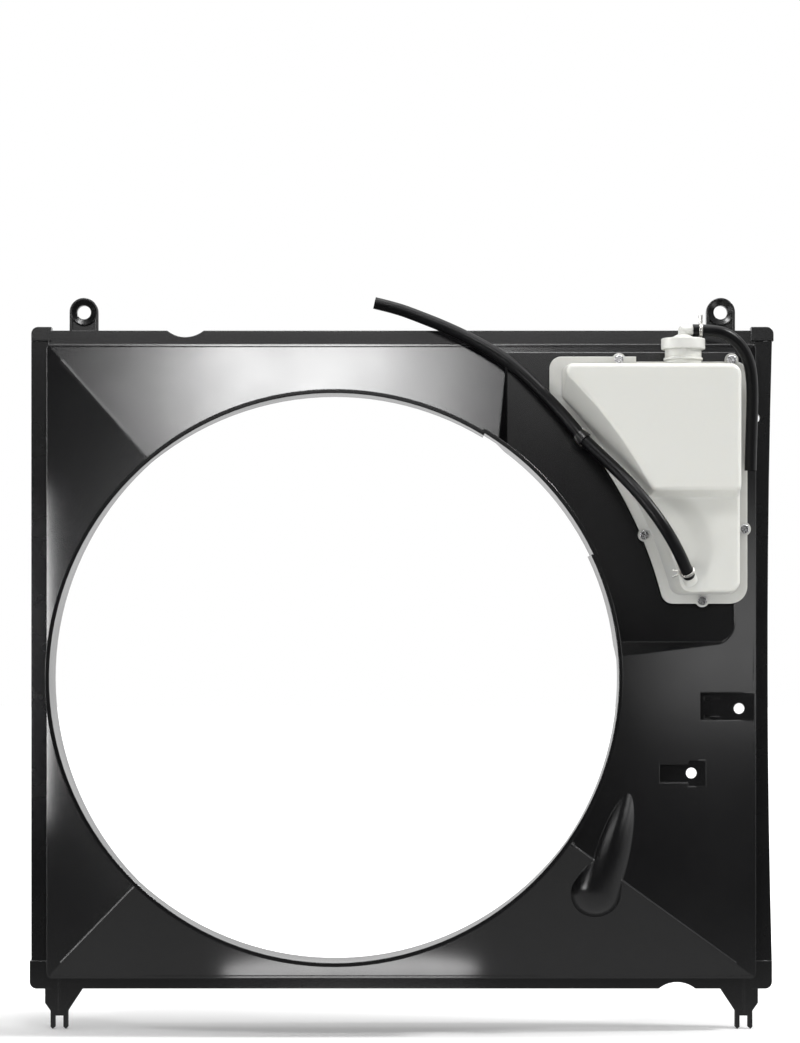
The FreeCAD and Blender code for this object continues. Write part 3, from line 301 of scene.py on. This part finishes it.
# %% [markdown]
# ## The reservoir plastic
# The tank is blown from natural polyethylene: milky, waxy and a little see-through, so light goes in and
# comes out softened. Subsurface scattering does that. Where the wall lies flat against the black shroud, on
# the parting flange, the colour goes greyer with depth: painted shade, for the dark that shows through and
# the shadow there.

# %% Tank plastic
flange_front = 0.047
painted_shade_depth = 0.016
tank_plastic, tree, shader = new_material("tank_plastic", (0.80, 0.80, 0.77), 0.38)
# Painted shade: the base colour darkens with depth towards the flange, where the tank meets the shroud.
painted_shade_mix = spread(tree, coordinate(tree, "Y"), low=0.0, high=1.0,
               low_in=flange_front - painted_shade_depth, high_in=flange_front)
tree.links.new(shades(tree, painted_shade_mix, (0.66, 0.66, 0.62), (0.56, 0.56, 0.535)), shader.inputs["Base Color"])
vary(tree, shader, "Roughness", noise(tree, waves=30.0), low=0.32, high=0.45)
shader.inputs["Subsurface Weight"].default_value = 0.4
shader.inputs["Subsurface Radius"].default_value = (1.0, 0.95, 0.85)
shader.inputs["Subsurface Scale"].default_value = 0.006
relief(tree, shader, noise(tree, waves=40.0, detail=3.0), distance=0.0006, strength=0.35, edge=0.0012)
report(tank_plastic)

# %% [markdown]
# The cap is moulded in a harder plastic of the same family. Less light goes in, and its edges are crisper.

# %% Cap plastic
cap_plastic, tree, shader = new_material("cap_plastic", (0.66, 0.66, 0.63), 0.35)
vary(tree, shader, "Roughness", noise(tree, waves=80.0), low=0.3, high=0.42)
shader.inputs["Subsurface Weight"].default_value = 0.2
shader.inputs["Subsurface Radius"].default_value = (1.0, 0.95, 0.9)
shader.inputs["Subsurface Scale"].default_value = 0.003
relief(tree, shader, noise(tree, waves=150.0, detail=3.0), distance=0.0003, strength=0.25, edge=0.0006)
report(cap_plastic)

# %% [markdown]
# ## Rubber and steel
# Hose rubber is black with a soft sheen and a faint grain from the cloth that it was cured in. The seal
# inside the cap is plain soft rubber. Both need little: a dark colour, an uneven roughness and, on the
# hose, a fine relief.

# %% Rubber
hose_rubber, tree, shader = new_material("hose_rubber", (0.004, 0.004, 0.0045), 0.4)
shader.inputs["Specular IOR Level"].default_value = 0.22
vary(tree, shader, "Roughness", noise(tree, waves=120.0, detail=5.0), low=0.3, high=0.42)
relief(tree, shader, noise(tree, waves=1400.0), distance=0.00008, strength=0.4)
report(hose_rubber)
seal_rubber, tree, shader = new_material("seal_rubber", (0.02, 0.02, 0.02), 0.7)
vary(tree, shader, "Roughness", noise(tree, waves=200.0), low=0.6, high=0.8)
report(seal_rubber)

# %% [markdown]
# The screws and the spring clamps are bright plated steel, whose small scratches spread the light. A bare
# metal has no colour of its own under the gloss, so Metallic is 1 and the colour tints the reflection.

# %% Steel
plated_colour = (0.66, 0.65, 0.62)
screw_steel, tree, shader = new_material("screw_steel", (0.75, 0.75, 0.76), 0.22)
shader.inputs["Metallic"].default_value = 1.0
vary(tree, shader, "Roughness", noise(tree, waves=700.0, detail=5.0), low=0.15, high=0.35)
relief(tree, shader, noise(tree, waves=900.0), distance=0.00008, strength=0.3, edge=0.0003)
report(screw_steel)
clamp_steel, tree, shader = new_material("clamp_steel", plated_colour, 0.3)
shader.inputs["Metallic"].default_value = 1.0
vary(tree, shader, "Roughness", noise(tree, waves=900.0, detail=5.0), low=0.22, high=0.42)
report(clamp_steel)

# %% [markdown]
# The clip of the long hose is steel too, but the half of its loop that lies over the hose is dipped in
# black vinyl, so that it doesn't chafe the rubber. Only its two ends shine. One material does both, with a
# border at a fixed depth, because the clip is one piece.

# %% Clip
dipped_to = 0.0255
dip_border = 0.0003
clip_steel, tree, shader = new_material("clip_steel", plated_colour, 0.3)
bare = spread(tree, coordinate(tree, "Y"), low=0.0, high=1.0,
              low_in=dipped_to - dip_border, high_in=dipped_to + dip_border)
tree.links.new(bare, shader.inputs["Metallic"])
tree.links.new(shades(tree, bare, (0.008, 0.008, 0.008), plated_colour), shader.inputs["Base Color"])
vary(tree, shader, "Roughness", noise(tree, waves=900.0, detail=5.0), low=0.25, high=0.42)
report(clip_steel)

# %% [markdown]
# ## Dress the CAD pieces
# A CAD piece comes in as loose triangles that share no points, so light breaks at every facet. A copy
# whose points are merged and whose faces are smoothed up to a given angle looks right and keeps its place.
# The moulding comes in as twelve walls, because simulation needs simple walls. Where two walls meet, their
# hidden faces are left out, so the copy is one skin again, as the real moulding is.

# %% What the frame says of each piece
slots = {item["node"]: item["material_slot"] for item in frame["record"]["subparts"]}
walls = [node for node in nodes if slots[node] == "black_plastic"]
body_of = {}
for body, members in frame["record"]["behaviour"]["bodies"].items():
    for member in members:
        body_of[member] = body
print("walls of the moulding", len(walls))

# %% [markdown]
# To find the hidden faces, the middle of each triangle is looked up in a search tree of all triangles. A
# boolean union of the walls would also drop them, but it may shift the skin, and this moves no point.

# %% Triangles that show
meeting_distance = 0.00025
facing_away = -0.9
least_length = 1e-12


def triangles(node):
    """The triangles of a CAD node as an array of corners."""
    source = nodes[node].data
    places = np.empty(len(source.vertices) * 3, np.float32)
    source.vertices.foreach_get("co", places)
    corners = np.empty(len(source.loops), np.int32)
    source.loops.foreach_get("vertex_index", corners)
    return places.reshape(-1, 3).astype(float)[corners].reshape(-1, 3, 3)


def showing(corners, owner):
    """Which triangles lie on no triangle of another node that faces the other way.

    The normal is the cross product of two sides over its own length. Two triangles face each other where
    the dot product of their normals is close to -1.
    """
    normals = np.cross(corners[:, 1] - corners[:, 0], corners[:, 2] - corners[:, 0])
    normals /= np.maximum(np.linalg.norm(normals, axis=1, keepdims=True), least_length)
    tree = BVHTree.FromPolygons(corners.reshape(-1, 3).tolist(),
                                np.arange(len(corners) * 3).reshape(-1, 3).tolist())
    near = [tree.find_nearest_range(centre, meeting_distance) for centre in corners.mean(axis=1).tolist()]
    hidden = [any(owner[hit[2]] != owner[row] and normals[hit[2]] @ normals[row] < facing_away
                  for hit in hits) for row, hits in enumerate(near)]
    return ~np.array(hidden)


print("triangles of the fan ring", len(triangles("fan_ring")))

# %% [markdown]
# Corners that fall on the same micrometre become one point, and a face that shrinks to a line by that is
# dropped. Weighted normals let large faces lead, so flat panels stay flat next to their rounded creases.

# %% Merged copies
decimals = 6
lead_of_large_faces = 100


def merged_copy(members, name, angle):
    """One smooth copy of CAD nodes, sharp only where faces meet at over the given angle in degrees."""
    pieces = [triangles(node) for node in members]
    corners = np.concatenate(pieces)
    if len(members) > 1:
        owner = np.repeat(np.arange(len(pieces)), [len(piece) for piece in pieces])
        corners = corners[showing(corners, owner)]
    points, which = np.unique(np.round(corners.reshape(-1, 3), decimals), axis=0, return_inverse=True)
    faces = which.reshape(-1, 3)
    whole = (faces[:, 0] != faces[:, 1]) & (faces[:, 1] != faces[:, 2]) & (faces[:, 2] != faces[:, 0])
    mesh = bpy.data.meshes.new(name)
    mesh.from_pydata(points.tolist(), [], faces[whole].tolist())
    mesh.polygons.foreach_set("use_smooth", np.ones(len(mesh.polygons), bool))
    mesh.set_sharp_from_angle(angle=math.radians(angle))
    copy = bpy.data.objects.new(name, mesh)
    bpy.context.scene.collection.objects.link(copy)
    even = copy.modifiers.new("even_normals", "WEIGHTED_NORMAL")
    even.keep_sharp = True
    even.weight = lead_of_large_faces
    mesh.materials.append(nodes[members[0]].data.materials[0])
    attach(copy, body_of[members[0]])
    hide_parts(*members)
    print(name, "points", len(points), "faces", len(mesh.polygons))
    return copy


# %% [markdown]
# Each CAD node gets its finish first, because a copy takes over the finish of the node that it stands for.
# The strips, the seal and the screws are flat or small enough to hide their facets, so they aren't copied.

# %% Paint
finishes = {
    "side_strip_left": strip_plastic, "side_strip_right": strip_plastic, "reservoir_tank": tank_plastic,
    "filler_cap": cap_plastic, "cap_seal": seal_rubber, "hose_clip": clip_steel,
    "outlet_clamp": clamp_steel, "overflow_clamp": clamp_steel, "outlet_hose": hose_rubber,
    "overflow_hose": hose_rubber,
}
finishes.update({node: black_plastic for node in walls})
finishes.update({node: screw_steel for node in nodes if node.startswith("screw_")})


def paint(piece, material):
    """Gives a piece one material."""
    piece.data.materials.clear()
    piece.data.materials.append(material)


for node, material in finishes.items():
    paint(nodes[node], material)
paint(long_hose, hose_rubber)
paint(short_hose, hose_rubber)
print("painted nodes", len(finishes))

# %% [markdown]
# The angle says what counts as an edge. The moulding's creases are shallow, so a small angle keeps them.
# The tank and the cap are rounder, and a wire is round all over, so they take larger ones.

# %% Make the copies
crease_angle = 11
tank_angle = 20
cap_angle = 24
wire_angle = 40
merged_copy(walls, "fan_shroud", crease_angle)
merged_copy(["reservoir_tank"], "coolant_bottle", tank_angle)
merged_copy(["filler_cap"], "bottle_cap", cap_angle)
merged_copy(["hose_clip"], "wire_hose_clip", wire_angle)
outlet_wire = merged_copy(["outlet_clamp"], "wire_outlet_clamp", wire_angle)
overflow_wire = merged_copy(["overflow_clamp"], "wire_overflow_clamp", wire_angle)

# %% [markdown]

print("hoses drawn as round curves")

# %% [markdown]
# ## Floor
# The part stands on a white floor that runs into a white background. A floor with a bend at its back would
# do that in a studio; here one flat sheet is enough, because its paint can brighten with distance.

# %% Floor
floor_level = cad_bounds[0][2]
floor_half = 12.0
floor_back = 24.0
floor_mesh = bpy.data.meshes.new("floor")
floor_mesh.from_pydata([(-floor_half, -floor_half, floor_level), (floor_half, -floor_half, floor_level),
                        (floor_half, floor_back, floor_level), (-floor_half, floor_back, floor_level)],
                       [], [(0, 1, 2, 3)])
floor = bpy.data.objects.new("floor", floor_mesh)
bpy.context.scene.collection.objects.link(floor)
print("floor at %.3f" % floor_level)

# %% [markdown]
# The floor shows each kind of ray something else. The camera sees matt white with a glow that grows away
# from the part, so only the soft shadow under the feet is left. Gloss sees a sheen that is dark in front
# and bright behind, because a polished panel that leans down would otherwise mirror a plain white sheet.

# %% Floor paint
floor_paint, tree, shader = new_material("floor_paint", (0.86, 0.86, 0.86), 0.9)
shader.inputs["Specular IOR Level"].default_value = 0.0
light_path = add_node(tree, "ShaderNodeLightPath")
place = add_node(tree, "ShaderNodeTexCoord")
away = add_node(tree, "ShaderNodeVectorMath", operation="LENGTH")
tree.links.new(place.outputs["Object"], away.inputs[0])
glow = add_node(tree, "ShaderNodeEmission")
brightening = spread(tree, away.outputs["Value"], low=0.16, high=1.0, low_in=0.45, high_in=1.0)
tree.links.new(brightening, glow.inputs["Strength"])
for_camera = add_node(tree, "ShaderNodeAddShader")
tree.links.new(shader.outputs["BSDF"], for_camera.inputs[0])
tree.links.new(glow.outputs["Emission"], for_camera.inputs[1])
near_sheen = spread(tree, coordinate(tree, "Y"), low=0.04, high=0.4, low_in=-0.9, high_in=0.0)
far_sheen = spread(tree, coordinate(tree, "Y"), low=0.0, high=0.6, low_in=0.1, high_in=0.8)
sheen = add_node(tree, "ShaderNodeEmission")
tree.links.new(combine(tree, "ADD", near_sheen, far_sheen), sheen.inputs["Strength"])


def choose(tree, ray, otherwise, wanted):
    """The wanted shader where a ray is of the given kind, and the other one elsewhere."""
    node = add_node(tree, "ShaderNodeMixShader")
    tree.links.new(light_path.outputs[ray], node.inputs["Fac"])
    tree.links.new(otherwise, node.inputs[1])
    tree.links.new(wanted, node.inputs[2])
    return node.outputs["Shader"]


for_gloss = choose(tree, "Is Glossy Ray", shader.outputs["BSDF"], sheen.outputs["Emission"])
for_all = choose(tree, "Is Camera Ray", for_gloss, for_camera.outputs["Shader"])
tree.links.new(for_all, tree.nodes["Material Output"].inputs["Surface"])
floor.data.materials.append(floor_paint)
report(floor_paint)

# %% [markdown]
# ## World
# The camera sees plain white all round, and dull surfaces get an even light. Gloss needs more, because
# black plastic shows only what it mirrors. It sees a room that is dark behind the camera, grows bright
# behind the part, and has a bright field overhead and one on each side. Those fields draw the thin lines of
# light along the rounded edges. A photograph of a studio would do it too, but then its windows would show.

# %% World
matt_level = 0.46
world = bpy.data.worlds.new("studio")
bpy.context.scene.world = world
world.use_nodes = True
tree = world.node_tree
backing = tree.nodes["Background"]
light_path = add_node(tree, "ShaderNodeLightPath")
behind = spread(tree, coordinate(tree, "Y", "Generated"), low=0.03, high=1.0, low_in=0.02, high_in=1.0)
overhead = spread(tree, coordinate(tree, "Z", "Generated"), low=0.0, high=2.0, low_in=0.68, high_in=0.9)
sideways = add_node(tree, "ShaderNodeMath", operation="ABSOLUTE")
tree.links.new(coordinate(tree, "X", "Generated"), sideways.inputs[0])
beside = spread(tree, sideways.outputs[0], low=0.0, high=1.5, low_in=0.75, high_in=0.95)
all_round = combine(tree, "ADD", combine(tree, "ADD", behind, overhead), beside)
mirror = combine(tree, "MULTIPLY", light_path.outputs["Is Glossy Ray"], all_round)
seen = combine(tree, "ADD", light_path.outputs["Is Camera Ray"], light_path.outputs["Is Transmission Ray"])
soft = add_node(tree, "ShaderNodeMath", operation="MULTIPLY")
tree.links.new(light_path.outputs["Is Diffuse Ray"], soft.inputs[0])
soft.inputs[1].default_value = matt_level
level = combine(tree, "ADD", combine(tree, "ADD", seen, mirror), soft.outputs[0])
tree.links.new(level, backing.inputs["Strength"])
backing.inputs["Color"].default_value = (1, 1, 1, 1)
print("world nodes", len(tree.nodes))

# %% [markdown]
# ## Lamps on the panels
# Each of the four sloping panels carries one bright field, which is the mirror image of a lamp. Such a lamp
# could be pushed about until its image sits right. It is quicker to follow the ray from the camera to the
# panel and on, and to put the lamp there. The nearer the lamp, the smaller it may be and the sharper the
# edge of its image.

# %% Lamp makers


def soft_lamp(name, place, target, wide, high, power, shape="RECTANGLE", beam=180):
    """A flat lamp that faces a target, hidden from the camera; its beam is an angle in degrees."""
    data = bpy.data.lights.new(name, "AREA")
    data.shape = shape
    data.size = wide
    data.size_y = high
    data.energy = power
    data.spread = math.radians(beam)
    lamp = bpy.data.objects.new(name, data)
    lamp.location = place
    lamp.rotation_euler = (Vector(target) - Vector(place)).to_track_quat("-Z", "Y").to_euler()
    lamp.visible_camera = False
    bpy.context.scene.collection.objects.link(lamp)
    return lamp


def mirror_place(point, normal, distance):
    """Where a lamp has to stand for a flat panel to mirror it from a point towards the camera.

    The line of sight minus twice its share along the panel's normal is the line that leaves the panel.
    """
    sight = (Vector(point) - eye).normalized()
    outward = Vector(normal).normalized()
    bounce = sight - 2 * sight.dot(outward) * outward
    return Vector(point) + bounce * distance


def panel_lamp(name, point, normal, distance, **settings):
    """A lamp whose mirror image falls on one point of a panel."""
    return soft_lamp(name, mirror_place(point, normal, distance), point, **settings)


# %% [markdown]
# The top and right panels are lit from further off, for a wide and fading field. The lamps for the left and
# bottom panels stand close, because there the bright field is narrow and lies along the panel. Each point
# is the middle of a bright field, and each normal says how its panel leans.

# %% Panel lamps
panel_lamp("lamp_top_panel", point=(-0.028, 0.05, 0.275), normal=(0, -1, 0.3215), distance=1.3,
           wide=0.3, high=0.25, power=4.9)
panel_lamp("lamp_left_panel", point=(-0.276, 0.06, 0.02), normal=(-0.36, -1, 0), distance=0.06,
           wide=0.014, high=0.32, power=0.23, shape="ELLIPSE")
panel_lamp("lamp_right_panel", point=(0.378, 0.06, 0.05), normal=(0.2545, -1, 0), distance=0.6,
           wide=0.2, high=0.2, power=0.2)
low_lamp = panel_lamp("lamp_bottom_panel", point=(0.014, 0.057, -0.27), normal=(0, -1, -0.351),
                      distance=0.07, wide=0.24, high=0.03, power=0.034, shape="ELLIPSE", beam=100)
print("bottom lamp at", [round(value, 3) for value in low_lamp.location])

# %% [markdown]
# The other lamps shape the whole. One overhead whitens the tops of the tank and the cap and lays the shadow
# under the feet, one above the camera fills, and two far out on the sides catch the edges. The last has a
# narrow beam for the slope on the tank's left, which would sink into grey without it.

# %% Room lamps
middle = (0.06, 0.05, 0)
soft_lamp("lamp_above", (0.06, -0.1, 2.0), (0.06, 0.05, -0.3), wide=0.8, high=0.6, power=13)
soft_lamp("lamp_front", (0.0, -3.0, 0.8), (0.1, 0, 0.1), wide=1.4, high=0.3, power=3.4)
soft_lamp("lamp_edge_right", (1.8, -0.25, 1.8), middle, wide=0.4, high=0.4, power=36)
soft_lamp("lamp_edge_left", (-2.6, -0.1, 0.4), middle, wide=0.3, high=1.2, power=12)
soft_lamp("lamp_tank_side", (-1.14, -1.36, 0.0), (0.29, 0, 0.13), wide=0.4, high=0.4, power=0.2, beam=22)
print("lamps", len(bpy.data.lights))

# %% [markdown]
# ## Finish

# %% Finish


bpy.context.view_layer.update()
